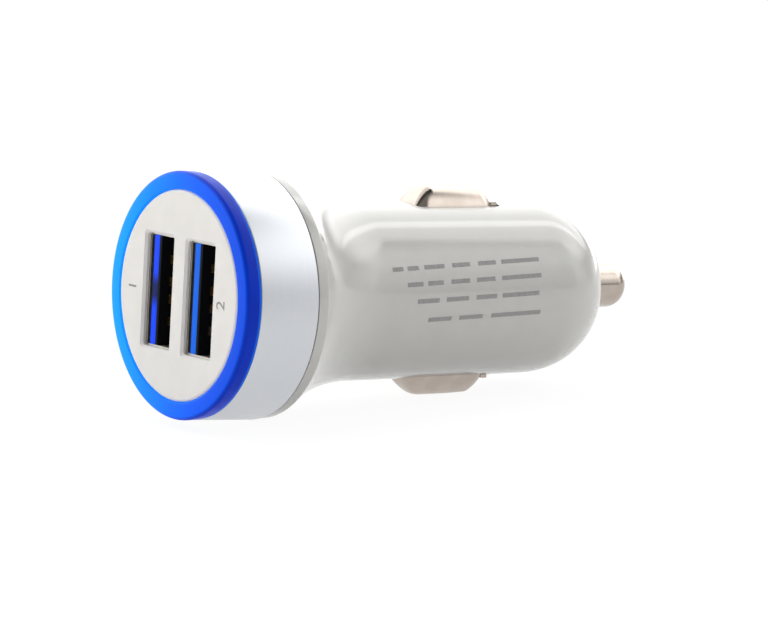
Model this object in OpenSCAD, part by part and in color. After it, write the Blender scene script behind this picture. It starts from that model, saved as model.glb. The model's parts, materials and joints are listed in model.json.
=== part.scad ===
// Two-port USB charger for a 12 V car socket.
// +X runs along the plug from the faceplate to the contact tip, and +Z runs up through the side contacts.
// The origin is on the plug's axis, where the flare has become the straight barrel.

/* [Barrel] */
// Diameter of the straight barrel that enters the socket
barrel_d = 20.7; // [19.5:0.1:21.2]
// Length of the straight barrel before its draft begins
grip_len = 7; // [5:0.1:7.1]
// Length of the drafted barrel from the straight part to the nose
draft_len = 18; // [17:0.1:20]
// How much smaller in radius the barrel is at the nose than at the straight part
draft = 0.1; // [0:0.02:0.2]
// Wall thickness of the main shell
shell_wall = 1.4; // [1.1:0.1:1.6]

/* [Nose] */
// Length of the nose from the end of the barrel to its flat end
nose_len = 9.4; // [9:0.1:10]
// How much further than its flat end the nose's curve would reach on the axis
nose_cut_off = 0.6; // [0.4:0.1:1.2]
// Roundness of the nose, where 2 is an ellipse
nose_power = 2.3; // [2:0.05:2.6]

/* [Head] */
// Length from the flange's front face to the faceplate
head_len = 9.55; // [9:0.05:11]
// Length of the flare from the flange's front face to the straight barrel
flare_len = 12.95; // [12.5:0.05:14]
// Width of the flange's edge, in front of the curved part of the flare
flange_lip = 1.27; // [1:0.01:1.5]
// How much smaller in radius the flange is than the trim band's rear edge
flange_step = 0.08; // [0:0.02:0.2]
// Radius of the flange's rounded edge
flange_edge = 0.5; // [0.2:0.1:0.6]
// How much smaller in radius the trim band's front edge is than the light ring
band_step = 0.01; // [0:0.01:0.1]
// How much the trim band's diameter narrows towards the light ring
band_taper = 0.5; // [0:0.1:0.8]
// Thickness of the trim band
band_wall = 1.1; // [0.8:0.1:1.2]
// Width of the dark seam behind the trim band
seam = 0.14; // [0.1:0.02:0.3]
// Depth of the light ring's side wall
ring_depth = 1.93; // [1.5:0.01:2.4]
// Width of the light ring round the faceplate
ring_w = 2.07; // [1.8:0.01:2.3]
// Radius of the light ring's rounded outer edge
ring_edge = 0.5; // [0.2:0.1:0.8]
// Width of the faceplate outside the corners of the ports' shells
face_margin = 2.345; // [2.1:0.005:2.5]
// Thickness of the faceplate
face_wall = 1.8; // [1.5:0.1:2]
// Radius of the faceplate's rounded rim
face_edge = 0.35; // [0.1:0.05:0.5]

/* [USB ports] */
// Distance between the two ports
port_pitch = 8.33; // [7.8:0.01:9]
// Width of the opening inside a port's metal shell
port_w = 12.5; // [12.3:0.1:12.6]
// Height of the opening inside a port's metal shell
port_h = 5.12; // [5:0.02:5.2]
// Sheet thickness of a port's metal shell
port_sheet = 0.3; // [0.25:0.05:0.35]
// How far the faceplate's window stands outside the shell's opening
window_margin = 0.21; // [0.15:0.01:0.25]
// Depth of the window in the faceplate, before the shell begins
window_depth = 0.7; // [0.6:0.1:1]
// Chamfer round the window's front edge
window_chamfer = 0.28; // [0.1:0.02:0.35]
// Thickness of the blue tongue
tongue_t = 1.84; // [1.7:0.02:1.95]
// Gap between the tongue's side edges and its shell
tongue_margin = 0.7; // [0.6:0.05:0.8]
// Gap between the tongue and the near wall of its shell
tongue_gap = 0.64; // [0.5:0.02:0.8]

/* [Side contacts] */
// How far a side contact's crest stands out of the barrel
crest_rise = 1.7; // [1.45:0.05:1.85]
// Width of a side contact's cap at its foot
contact_w = 5; // [4.6:0.1:5.4]
// Length of the cap at its foot
contact_len = 11.55; // [10.8:0.05:12]
// Sheet thickness of a side contact
contact_t = 0.4; // [0.3:0.05:0.5]
// Length of the cap's front slope
ramp_front = 2.3; // [1.9:0.1:2.8]
// Length of the cap's rear slope
ramp_rear = 1.45; // [1.2:0.05:1.9]
// How far each long side slopes in from the foot to the crest
ramp_side = 1.8; // [1.5:0.1:2]
// Roundness of the slopes, where 1 is straight and 2 is an ellipse
ramp_power = 1.4; // [1.2:0.1:2]
// Roundness of the cap's corners at its foot, as a share of its half width
corner_low = 0.57; // [0.3:0.01:0.9]
// Roundness of the cap's corners at its crest, as a share of its half width
corner_high = 0.95; // [0.6:0.01:0.98]
// Length of the leaf from its root to the cap
leaf_len = 10; // [9.6:0.05:10.4]

/* [Contact tip] */
// Diameter of the contact tip
tip_d = 5.5; // [5:0.1:6]
// How far the tip stands out of the nose
tip_out = 6.8; // [6:0.1:8]
// Length of the tip's dome
dome_len = 2.4; // [2:0.1:3]
// How far the tip travels into the nose
tip_travel = 3; // [2:0.1:3.2]
// Wire diameter of the tip's spring
spring_wire = 0.5; // [0.4:0.05:0.6]
// Number of turns in the tip's spring
spring_turns = 7; // [5:1:8]

/* [Boards] */
// Thickness of both circuit boards
board_t = 1.2; // [1:0.1:1.6]
// Gap between the barrel's bore and the main board where the side contacts' roots are soldered
board_head_gap = 1.45; // [1.3:0.05:1.9]
// Gap between the barrel's bore and the main board further in
board_gap = 3.75; // [3.6:0.05:4.2]
// Gap between the main board's end and the contact tip's guide
board_end_gap = 3.45; // [3.2:0.05:3.8]

/* [Hidden] */
$fn = 96;
over = 0.5;
fit_gap = 0.05;
slip_gap = 0.1;

barrel_r = barrel_d / 2;
bore_r = barrel_r - shell_wall;
nose_r = barrel_r - draft;
nose_x = grip_len + draft_len;
nose_end = nose_x + nose_len;
nose_reach = nose_len + nose_cut_off;
flange_x = -flare_len;
face_x = flange_x - head_len;
ring_back = face_x + ring_depth;
face_back = face_x + face_wall;

// The head grows outwards from the ports: faceplate, light ring, trim band, flange
port_corner = norm([port_pitch / 2 + port_h / 2 + port_sheet, port_w / 2 + port_sheet]);
face_r = port_corner + face_margin;
ring_r = face_r + ring_w;
band_front_r = ring_r - band_step;
band_r = band_front_r + band_taper / 2;
flange_r = band_r - flange_step;

// The flare is one arc that meets the straight barrel without a corner
flare_curve_len = flare_len - flange_lip;
flare_rise = flange_r - barrel_r;
flare_r = (pow(flare_curve_len, 2) + pow(flare_rise, 2)) / (2 * flare_rise);
flare_c = barrel_r + flare_r;
flare_in_r = flare_r + shell_wall;
edge_c = flange_r - flange_edge;
edge_x = -sqrt(pow(flare_r + flange_edge, 2) - pow(flare_c - edge_c, 2));
edge_end = atan2(-edge_x, flare_c - edge_c);

// The spigot carries the trim band and holds the light ring
spigot_r = band_front_r - band_wall - fit_gap;
spigot_wall = 1.3;
spigot_in = spigot_r - spigot_wall;
web_t = 0.8;
web_back = face_back + web_t;
spigot_x = web_back + fit_gap;
bead_depth = 5.6;
bead_x = face_back + bead_depth;
bead_w = 0.8;
bead_h = 0.2;

// The port board sits on a shoulder inside the flare, part way in radius from the spigot to the barrel
seat_share = 0.542;
relief_share = 0.47;
seat_r = bore_r + (spigot_in - bore_r) * seat_share;
shoulder_r = bore_r + (seat_r - bore_r) * relief_share;
shoulder_x = -sqrt(pow(flare_in_r, 2) - pow(flare_c - seat_r, 2));
port_board_r = seat_r - slip_gap;
port_board_x = shoulder_x - board_t;

// Guide for the contact tip inside the nose
guide_gap = 0.2;
guide_wall = 1.2;
guide_spare = 2.3;
end_wall = 1.6;
tip_r = tip_d / 2;
tip_bore = tip_r + slip_gap;
tip_flange_w = 1.15;
tip_flange_r = tip_r + tip_flange_w;
tip_flange_t = 1;
guide_len = tip_flange_t + tip_travel + guide_spare;
guide_r = tip_flange_r + guide_gap;
guide_out = guide_r + guide_wall;
guide_end = nose_end - end_wall;
guide_x = guide_end - guide_len;
mouth_chamfer = 0.3;

// Side contact, whose leaf turns about its root
root_x = -1.5;
root_len = 3;
board_head_half = bore_r - board_head_gap;
leaf_z = board_head_half + fit_gap;
leaf_half = 1.6;
leaf_slope = 2.5;
leaf_rise = 0.5;
ramp_x = root_x + leaf_len;
cap_end = ramp_x + contact_len;
crest_z = barrel_r + crest_rise;
skirt_drop = 0.85;
slice_t = 0.02;
cap_steps = 7;
skirt_z = barrel_r - skirt_drop;
foot_len = 1.8;
foot_half = 1.8;
foot_drop = 0.2;
foot_z = barrel_r - foot_drop;
window_gap = 0.2;
contact_end = cap_end + foot_len;
window_x = ramp_x - window_gap;
window_end = contact_end + window_gap * 2;
window_half = contact_w / 2 + window_gap;
window_r = 0.5;

// USB receptacle
port_y = port_pitch / 2;
port_x = face_x + window_depth;
port_end = port_board_x - fit_gap;
port_r = 0.5;
tongue_w = port_w - 2 * tongue_margin;
tongue_recess = 0.1;
tongue_x = port_x + tongue_recess;
tongue_y = port_h / 2 - tongue_gap - tongue_t;
block_len = 4;
block_x = port_end - block_len;
pin_ys = [-3.5, -1, 1, 3.5];
pin_w = 1;
pin_t = 0.25;
groove_w = 1.2;
groove_t = 0.35;
pin_hump = 0.45;
pin_tail_w = 0.6;
pin_tail = 0.7;
pin_hole_r = 0.45;
pin_y = tongue_y + slip_gap / 2;
leg_w = 2;
leg_len = 0.6;
leg_gap = 0.15;
finger_w = 1.5;
finger_len = 5;
finger_slit = 0.4;
finger_z = 3;
finger_start = 2.2;
finger_x = port_x + finger_start;

// Main board and what sits on it
board_x = shoulder_x + fit_gap;
board_end = guide_x - board_end_gap;
board_mid = (board_x + board_end) / 2;
board_half = bore_r - board_gap;
board_tail = 2.4;
board_tail_half = 3;
tab_z = 4;
tab_w = 2.5;
tab_proud = 0.4;
side_y = board_t / 2;
tip_stub_step = 0.85;
tip_stub_r = tip_r - tip_stub_step;
spring_gap = 0.3;
spring_r = tip_stub_r + spring_gap + spring_wire / 2;
cup_x = board_end + fit_gap;
cup_margin = 0.6;
cup_r = spring_r + spring_wire / 2 + cup_margin;
cup_floor = 0.4;
cup_wall = 0.3;
cup_depth = 0.8;
ear_len = 2.6;
ear_half = 1.4;
ear_t = 0.4;
tip_seat = guide_end - fit_gap;
spring_x = cup_x + cup_floor;
spring_end = tip_seat - tip_flange_t;
tip_stub = 2.5;

can_len_out = 8.6;
can_len_in = 10.6;
can_clear = 2;
can_r = (bore_r - side_y - fit_gap - can_clear) / 2;
can_groove = 0.35;
can_groove_at = 1.3;
can_lip = 0.4;
can_out_gap = 0.85;
can_out_x = board_x + can_out_gap;
can_in_back = 1.35;
can_in_x = board_mid - can_in_back;
lead_r = 0.25;
lead_out = 1.1;
lead_z = 1.25;
lead_through = 0.4;
lead_hole_r = 0.4;

drum_r = 3.75;
drum_gap = 0.85;
drum_x = can_out_x + can_len_out + lead_out + drum_gap + drum_r;
drum_h = 5;
drum_flange = 0.8;
drum_core_r = 1.6;
wire_r = 0.28;
wire_turns = 6;
chip_gap = 6.15;
chip_x = board_x + chip_gap;
chip_l = 4.9;
chip_w = 3.9;
chip_h = 1.45;
chip_lift = 0.12;
chip_chamfer = 0.3;
chip_pitch = 1.27;
chip_leg_w = 0.42;
chip_leg_t = 0.2;
chip_leg_out = 1.05;
diode_l = 2.6;
diode_gap = 1.95;
diode_x = drum_x + drum_r + diode_gap + diode_l / 2;
diode_w = 4.3;
diode_h = 2.1;
diode_tab = 1.4;
diode_tab_t = 0.2;

// Small parts stand in one row behind the port board, and in pairs past the drum and past the diode
small_front = board_x + 1.95;
small_mid = drum_x + drum_r + 1.05;
small_rear = diode_x + 2.4;
small_z = board_half - 1.3;
small_inner_z = 2.4;
small_outer_z = 4.2;
small_root_z = board_head_half - 2.1;
resistor = [1.6, 0.45, 0.8];
resistor_spots = [
    [small_front, small_outer_z], [small_front, small_inner_z],
    [small_front, -small_inner_z], [small_front, -small_outer_z],
    [small_mid, small_z], [small_rear, small_z], [small_rear, -small_z]
];
ceramic = [2, 1, 1.25];
ceramic_spots = [[small_front, 0], [small_mid - fit_gap, -small_z], [root_x - root_len / 2, small_root_z]];
led = [0.8, 1.25, 2];
led_lens_r = 0.5;
led_lens = 0.15;
led_gap = 0.55;

// The faceplate's snap ring clears the ports' shells, and the lamps stand inside it
snap_margin = 0.57;
snap_r = port_corner + snap_margin;
led_r = snap_r - led_gap - led[1] / 2;
snap_wall = 1;
snap_len = 3;
skirt_gap = 0.23;

// Points along an arc, from angle a to angle b
function arc(cx, cy, r, a, b, n) = [
    for (i = [0:n]) [cx + r * cos(a + (b - a) * i / n), cy + r * sin(a + (b - a) * i / n)]
];

// Point of a superellipse with the given radius, reach and power, as radius and place on the axis
function dome_point(r, reach, power, x, t) = [r * pow(cos(t), 2 / power), x + reach * pow(sin(t), 2 / power)];

function dome(r, reach, power, x, t_end, n) = [for (i = [0:n]) dome_point(r, reach, power, x, t_end * i / n)];

// A profile of radius and place on the axis, turned round the plug's axis
module turned() {
    rotate([0, 90, 0]) rotate_extrude() children();
}

// A flat outline in Z and Y, extruded along the plug's axis from x
module along(x, len) {
    translate([x, 0, 0]) rotate([0, 90, 0]) linear_extrude(height = len) children();
}

// A flat outline in X and Z, extruded through y = 0
module across(width) {
    rotate([90, 0, 0]) linear_extrude(height = width, center = true) children();
}

// A flat outline in X and Y, extruded along Z through z = 0
module upright(height) {
    linear_extrude(height = height, center = true) children();
}

module rounded_rect(w, h, r) {
    square([w, h - 2 * r], center = true);
    square([w - 2 * r, h], center = true);
    for (u = [-1, 1], v = [-1, 1])
        translate([u * (w / 2 - r), v * (h / 2 - r)]) circle(r = r, $fn = 32);
}

module at_ports(side) {
    translate([0, side * port_y, 0]) children();
}

module block(x, y, z, size) {
    translate([x, y, z - size[2] / 2]) cube(size);
}

// Main shell: flange, flare, barrel and nose in one moulding

nose_cut = asin(pow(nose_len / nose_reach, nose_power / 2));
nose_in_reach = nose_reach - shell_wall;
guide_cut = acos(pow(guide_out / bore_r, nose_power / 2));
flare_in_x = -sqrt(pow(flare_in_r, 2) - pow(flare_c - spigot_in, 2));
relief_x = -sqrt(pow(flare_in_r, 2) - pow(flare_c - shoulder_r, 2));

module shell_outside() {
    turned() polygon(concat(
        [[0, spigot_x], [spigot_r, spigot_x], [spigot_r, flange_x], [flange_r, flange_x]],
        arc(edge_c, edge_x, flange_edge, 0, edge_end, 6),
        arc(flare_c, 0, flare_r, 180 + edge_end, 180, 24),
        [[barrel_r, grip_len]],
        dome(nose_r, nose_reach, nose_power, nose_x, nose_cut, 18),
        [[0, nose_end]]
    ));
}

module shell_cavity() {
    flare_in_end = 180 - asin(flare_in_x / flare_in_r);
    shoulder_at = 180 - asin(shoulder_x / flare_in_r);
    relief_at = 180 - asin(relief_x / flare_in_r);
    turned() polygon(concat(
        [[0, spigot_x - over], [spigot_in, spigot_x - over]],
        arc(flare_c, 0, flare_in_r, flare_in_end, shoulder_at, 6),
        [[shoulder_r, shoulder_x]],
        arc(flare_c, 0, flare_in_r, relief_at, 180, 8),
        dome(bore_r, nose_in_reach, nose_power, nose_x, guide_cut, 12),
        [[guide_out, guide_x], [guide_r, guide_x], [guide_r, guide_end], [0, guide_end]]
    ));
}

module tip_mouth() {
    turned() polygon([
        [0, guide_end - over], [tip_bore, guide_end - over], [tip_bore, nose_end - mouth_chamfer],
        [tip_bore + mouth_chamfer, nose_end], [tip_bore + mouth_chamfer, nose_end + over],
        [0, nose_end + over]
    ]);
}

module bead_groove() {
    turned() translate([spigot_in - over, bead_x - slip_gap])
        square([over + bead_h + slip_gap, bead_w + 2 * slip_gap]);
}

module contact_window() {
    translate([(window_x + window_end) / 2, 0, skirt_z / 2])
        linear_extrude(height = barrel_r)
            rounded_rect(window_end - window_x, 2 * window_half, window_r);
}

module body_shell() {
    color("white") difference() {
        shell_outside();
        shell_cavity();
        tip_mouth();
        bead_groove();
        contact_window();
        mirror([0, 0, 1]) contact_window();
    }
}

// Head: trim band, light ring and faceplate

module trim_band() {
    color("silver") turned() polygon([
        [spigot_r + fit_gap, ring_back], [band_front_r - slip_gap, ring_back],
        [band_front_r, ring_back + slip_gap], [band_r, flange_x - seam - slip_gap],
        [band_r - slip_gap, flange_x - seam],
        [spigot_r + fit_gap, flange_x - seam]
    ]);
}

module light_ring() {
    web_r = spigot_r - fit_gap;
    skirt_r = spigot_in - slip_gap;
    skirt_back = flare_in_x - skirt_gap;
    color("dodgerblue") turned() polygon(concat(
        [[face_r + fit_gap, face_x + slip_gap], [face_r + fit_gap + slip_gap, face_x]],
        arc(ring_r - ring_edge, face_x + ring_edge, ring_edge, -90, 0, 8),
        [
            [ring_r - slip_gap, ring_back - fit_gap], [web_r, ring_back - fit_gap], [web_r, web_back],
            [skirt_r, web_back], [skirt_r, bead_x], [skirt_r + bead_h, bead_x + bead_w / 4],
            [skirt_r + bead_h, bead_x + bead_w * 3 / 4], [skirt_r, bead_x + bead_w],
            [skirt_r, skirt_back], [snap_r + fit_gap, skirt_back], [snap_r + fit_gap, face_back + fit_gap],
            [face_r + fit_gap, face_back + fit_gap]
        ]
    ));
}

module port_pocket(side) {
    at_ports(side) {
        along(face_x - over, over + face_wall * 4)
            rounded_rect(port_w + 2 * window_margin, port_h + 2 * window_margin, port_r);
        along(port_x - fit_gap, face_wall * 4)
            rounded_rect(port_w + 2 * (port_sheet + slip_gap), port_h + 2 * (port_sheet + slip_gap), port_r);
        window_lip();
    }
}

// Chamfer round a window, as four tilted-face prisms that meet at its corners
module window_lip() {
    half_w = port_w / 2 + window_margin;
    half_h = port_h / 2 + window_margin;
    translate([face_x, 0, 0]) rotate([0, 90, 0]) intersection() {
        rotate([90, 0, 0]) linear_extrude(height = port_w, center = true) polygon(lip_outline(half_w));
        rotate([90, 0, 90]) linear_extrude(height = port_w * 2, center = true) polygon(lip_outline(half_h));
    }
}

function lip_outline(half) = [
    [-half - window_chamfer, -over], [half + window_chamfer, -over], [half + window_chamfer, 0],
    [half, window_chamfer], [-half, window_chamfer], [-half - window_chamfer, 0]
];

module faceplate() {
    color("whitesmoke") difference() {
        turned() polygon(concat(
            [[0, face_x]],
            arc(face_r - face_edge, face_x + face_edge, face_edge, -90, 0, 6),
            [
                [face_r, face_back], [snap_r, face_back], [snap_r, face_back + snap_len],
                [snap_r - snap_wall, face_back + snap_len], [snap_r - snap_wall, face_back], [0, face_back]
            ]
        ));
        port_pocket(1);
        port_pocket(-1);
    }
}

// USB receptacle: metal shell, blue insulator with its tongue, and four pins

module finger_slit() {
    // U-shaped slit that frees a grip finger in a wide wall of the shell
    difference() {
        translate([finger_x, -port_h, -finger_w / 2 - finger_slit])
            cube([finger_len + finger_slit, port_h * 2, finger_w + 2 * finger_slit]);
        translate([finger_x - over, -port_h, -finger_w / 2])
            cube([finger_len + over, port_h * 2, finger_w]);
    }
}

module port_shell(side) {
    color("gainsboro") at_ports(side) {
        difference() {
            along(port_x, port_end - port_x)
                rounded_rect(port_w + 2 * port_sheet, port_h + 2 * port_sheet, port_r);
            along(port_x - over, port_end - port_x + 2 * over)
                rounded_rect(port_w, port_h, port_r - port_sheet);
            for (z = [-finger_z, finger_z]) translate([0, 0, z]) finger_slit();
        }
        for (s = [-1, 1]) block(
            port_end - leg_len, -leg_w / 2, s * (port_w + port_sheet) / 2,
            [leg_len + board_t + 2 * fit_gap + leg_len, leg_w, port_sheet]
        );
    }
}

module pin_slots() {
    for (z = pin_ys) block(tongue_x + block_len / 5, tongue_y, z, [port_end - tongue_x, groove_t, groove_w]);
}

module port_insulator(side) {
    body_w = port_w - 2 * fit_gap;
    body_h = port_h - 2 * fit_gap;
    chamfer = tongue_t / 5;
    color("mediumblue") at_ports(side) difference() {
        union() {
            along(block_x, block_len) rounded_rect(body_w, body_h, port_r - port_sheet);
            upright(tongue_w) polygon([
                [tongue_x, tongue_y + chamfer], [tongue_x + chamfer, tongue_y], [block_x + over, tongue_y],
                [block_x + over, tongue_y + tongue_t], [tongue_x + chamfer, tongue_y + tongue_t],
                [tongue_x, tongue_y + tongue_t - chamfer]
            ]);
        }
        pin_slots();
    }
}

module port_pins(side) {
    // Each pin is a flat blade with a sprung hump near the tongue's tip and a tail through the board
    start = tongue_x + block_len / 4;
    hump = start + block_len / 3;
    far = pin_y + pin_t;
    color("gold") at_ports(side) for (z = pin_ys) translate([0, 0, z]) {
        upright(pin_w) polygon([
            [start, pin_y], [hump, pin_y], [hump + pin_hump, pin_y - pin_hump],
            [hump + 2 * pin_hump, pin_y - pin_hump], [hump + 3 * pin_hump, pin_y], [port_end, pin_y],
            [port_end, far], [hump + 3 * pin_hump - pin_t / 2, far],
            [hump + 2 * pin_hump - pin_t / 2, far - pin_hump], [hump + pin_hump + pin_t / 2, far - pin_hump],
            [hump + pin_t / 2, far], [start, far]
        ]);
        block(port_end - over, pin_y, 0, [over + board_t + fit_gap + pin_tail, pin_t, pin_tail_w]);
    }
}

// Round board behind the ports, and the lamps that light the ring

module port_board() {
    leg_slot = [board_t + 2 * over, leg_w + 2 * leg_gap, port_sheet + 2 * leg_gap];
    color("darkgreen") difference() {
        along(port_board_x, board_t) circle(r = port_board_r);
        for (side = [-1, 1]) at_ports(side) {
            for (s = [-1, 1])
                block(port_board_x - over, -leg_slot[1] / 2, s * (port_w + port_sheet) / 2, leg_slot);
            for (z = pin_ys) translate([0, pin_y + pin_t / 2, z])
                along(port_board_x - over, board_t + 2 * over) circle(r = pin_hole_r);
        }
        for (z = [-tab_z, tab_z]) block(
            port_board_x - over, -side_y - fit_gap, z,
            [board_t + 2 * over, board_t + 2 * fit_gap, tab_w + 2 * slip_gap]
        );
    }
}

module ring_leds() {
    color("lightyellow") for (a = [0:90:270]) rotate([a, 0, 0]) {
        block(port_board_x - led[0], led_r - led[1] / 2, 0, led);
        translate([0, led_r, 0]) along(port_board_x - led[0] - led_lens, led_lens + over / 2)
            circle(r = led_lens_r, $fn = 32);
    }
}

// Main board, which stands between the ports and carries the converter

module main_board() {
    root_half = root_x - slip_gap;
    color("seagreen") difference() {
        across(board_t) {
            polygon([
                [board_x, -board_head_half], [root_half, -board_head_half], [root_half + over, -board_half],
                [board_end - board_tail, -board_half], [board_end, -board_tail_half],
                [board_end, board_tail_half], [board_end - board_tail, board_half],
                [root_half + over, board_half], [root_half, board_head_half], [board_x, board_head_half]
            ]);
            for (z = [-tab_z, tab_z]) translate([port_board_x - tab_proud, z - tab_w / 2])
                square([board_x - port_board_x + tab_proud + over, tab_w]);
        }
        lead_holes(can_out_x + can_len_out + lead_out);
        lead_holes(can_in_x + can_len_in + lead_out);
    }
}

module lead_holes(x) {
    for (z = [-lead_z, lead_z]) translate([x, 0, z]) rotate([90, 0, 0])
        cylinder(r = lead_hole_r, h = board_t + 2 * over, center = true, $fn = 32);
}

// Turns a profile of radius and height into a piece that stands on the +Y face of the board at x
module standing(x) {
    translate([x, side_y, 0]) rotate([-90, 0, 0]) rotate_extrude() children();
}

module inductor_core() {
    color("dimgray") standing(drum_x) polygon([
        [0, fit_gap], [drum_r, fit_gap], [drum_r, drum_flange], [drum_core_r, drum_flange],
        [drum_core_r, drum_h - drum_flange], [drum_r, drum_h - drum_flange], [drum_r, drum_h], [0, drum_h]
    ]);
}

module inductor_winding() {
    low = drum_flange + fit_gap;
    high = drum_h - drum_flange - fit_gap;
    step = (high - low) / wire_turns;
    outer = drum_r - over - wire_r;
    color("chocolate") standing(drum_x) {
        translate([drum_core_r + fit_gap, low]) square([outer - drum_core_r - fit_gap, high - low]);
        for (i = [0:wire_turns - 1]) translate([outer, low + step * (i + 1 / 2)])
            circle(r = step / 2, $fn = 24);
    }
}

// Electrolytic can that lies along the board's -Y face, with its leads bent through the board
module can(x, len) {
    y = -side_y - fit_gap - can_r;
    lead_x = x + len + lead_out;
    translate([0, y, 0]) turned() polygon([
        [0, x], [can_r - can_lip, x], [can_r, x + can_lip],
        [can_r, x + len - can_groove_at - can_groove], [can_r - can_groove, x + len - can_groove_at],
        [can_r, x + len - can_groove_at + can_groove], [can_r, x + len - can_lip],
        [can_r - can_lip, x + len], [0, x + len]
    ]);
    for (z = [-lead_z, lead_z]) translate([0, 0, z]) {
        translate([x + len - over, y, 0]) rotate([0, 90, 0])
            cylinder(r = lead_r, h = lead_out + over, $fn = 24);
        translate([lead_x, y, 0]) sphere(r = lead_r, $fn = 24);
        translate([lead_x, y, 0]) rotate([-90, 0, 0])
            cylinder(r = lead_r, h = side_y + lead_through - y, $fn = 24);
    }
}

module input_capacitor() {
    color("darkslateblue") can(can_in_x, can_len_in);
}

module output_capacitor() {
    color("darkslateblue") can(can_out_x, can_len_out);
}

module converter_chip() {
    low = side_y + chip_lift;
    mid = low + chip_h / 2;
    color("black") translate([chip_x - chip_l / 2, 0, 0]) rotate([90, 0, 90]) linear_extrude(height = chip_l)
        polygon([
            [low, chip_chamfer - chip_w / 2], [mid, -chip_w / 2], [low + chip_h, chip_chamfer - chip_w / 2],
            [low + chip_h, chip_w / 2 - chip_chamfer], [mid, chip_w / 2], [low, chip_w / 2 - chip_chamfer]
        ]);
}

module converter_legs() {
    inner = chip_w / 2 + fit_gap;
    foot = side_y + fit_gap;
    bend = inner + chip_leg_out / 3;
    knee = side_y + chip_lift + chip_h / 2;
    far = inner + chip_leg_out;
    color("silver") for (i = [-3 / 2:1:3 / 2], s = [0, 1]) mirror([0, 0, s])
        translate([chip_x + i * chip_pitch - chip_leg_w / 2, 0, 0]) rotate([90, 0, 90])
            linear_extrude(height = chip_leg_w) polygon([
                [knee, inner], [knee, bend], [foot + chip_leg_t, bend + chip_leg_t], [foot + chip_leg_t, far],
                [foot, far], [foot, bend], [knee - chip_leg_t, bend - chip_leg_t / 2],
                [knee - chip_leg_t, inner]
            ]);
}

module catch_diode() {
    half = diode_w / 2;
    low = side_y + fit_gap + diode_tab_t;
    color("black") translate([diode_x - diode_l / 2, 0, 0]) rotate([90, 0, 90]) linear_extrude(height = diode_l)
        polygon([
            [low, -half], [side_y + diode_h / 2, -half], [side_y + diode_h, chip_chamfer - half],
            [side_y + diode_h, half - chip_chamfer], [side_y + diode_h / 2, half], [low, half]
        ]);
}

module diode_tabs() {
    // Flat solder tabs that fold under both ends of the diode
    color("silver") for (s = [-1, 1])
        block(diode_x - diode_tab / 2, side_y + fit_gap / 2, s * diode_w / 2, [diode_tab, diode_tab_t, diode_tab]);
}

module chip_resistors() {
    color("black") for (p = resistor_spots) block(p[0] - resistor[0] / 2, side_y, p[1], resistor);
}

module chip_capacitors() {
    color("tan") for (p = ceramic_spots) block(p[0] - ceramic[0] / 2, side_y, p[1], ceramic);
}

// Centre contact: cup on the end of the main board, coil spring and domed tip

module spring_cup() {
    color("gold") {
        turned() polygon([
            [0, cup_x], [cup_r, cup_x], [cup_r, cup_x + cup_floor + cup_depth],
            [cup_r - cup_wall, cup_x + cup_floor + cup_depth], [cup_r - cup_wall, cup_x + cup_floor],
            [0, cup_x + cup_floor]
        ]);
        for (s = [0, 1]) mirror([0, s, 0])
            block(cup_x - ear_len, side_y + fit_gap / 2, 0, [ear_len + cup_floor / 2, ear_t, 2 * ear_half]);
    }
}

// Coil of round wire between two places on the plug's axis, as rings of points swept along its helix
coil_sides = 8;
coil_steps = 20;
coil_low = spring_x + spring_wire / 2 + fit_gap / 2;
coil_high = spring_end - spring_wire / 2 - fit_gap / 2;
coil_count = spring_turns * coil_steps;
coil_points = [
    for (i = [0:coil_count], k = [0:coil_sides - 1])
        let (
            a = 360 * i / coil_steps,
            b = 360 * k / coil_sides,
            r = spring_r + spring_wire / 2 * cos(b),
            x = coil_low + (coil_high - coil_low) * i / coil_count + spring_wire / 2 * sin(b)
        ) [x, r * cos(a), r * sin(a)]
];
coil_faces = concat(
    [[for (k = [0:coil_sides - 1]) k]],
    [
        for (i = [0:coil_count - 1], k = [0:coil_sides - 1])
            let (n = (k + 1) % coil_sides, p = i * coil_sides, q = p + coil_sides)
            [p + k, q + k, q + n, p + n]
    ],
    [[for (k = [coil_sides - 1:-1:0]) coil_count * coil_sides + k]]
);

module tip_spring() {
    color("lightgray") polyhedron(points = coil_points, faces = coil_faces);
}

module contact_tip() {
    color("silver") turned() polygon(concat(
        [
            [0, spring_end - tip_stub], [tip_stub_r, spring_end - tip_stub], [tip_stub_r, spring_end],
            [tip_flange_r, spring_end], [tip_flange_r, tip_seat], [tip_r, tip_seat]
        ],
        dome(tip_r, dome_len, nose_power, nose_end + tip_out - dome_len, 90, 14)
    ));
}

// Side contact: a leaf from the board's edge to a pressed cap that stands out of the barrel

// Level outline of the cap, from its foot at t = 0 to its crest at t = 90
module cap_slice(inset, t) {
    in = 1 - pow(cos(t), 2 / ramp_power);
    up = pow(sin(t), 2 / ramp_power);
    front = ramp_x + inset + ramp_front * in;
    rear = cap_end - inset - ramp_rear * in;
    half = contact_w / 2 - inset - ramp_side * in;
    z = skirt_z + (crest_z - inset - skirt_z) * up;
    translate([(front + rear) / 2, 0, z - slice_t]) linear_extrude(height = slice_t)
        rounded_rect(rear - front, 2 * half, half * (corner_low + (corner_high - corner_low) * in));
}

// The cap's foot is level with skirt_z, and an inset cap runs on below it
module cap(inset) {
    hull() {
        translate([0, 0, -inset]) cap_slice(inset, 0);
        for (i = [0:cap_steps]) cap_slice(inset, 90 * i / cap_steps);
    }
}

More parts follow.
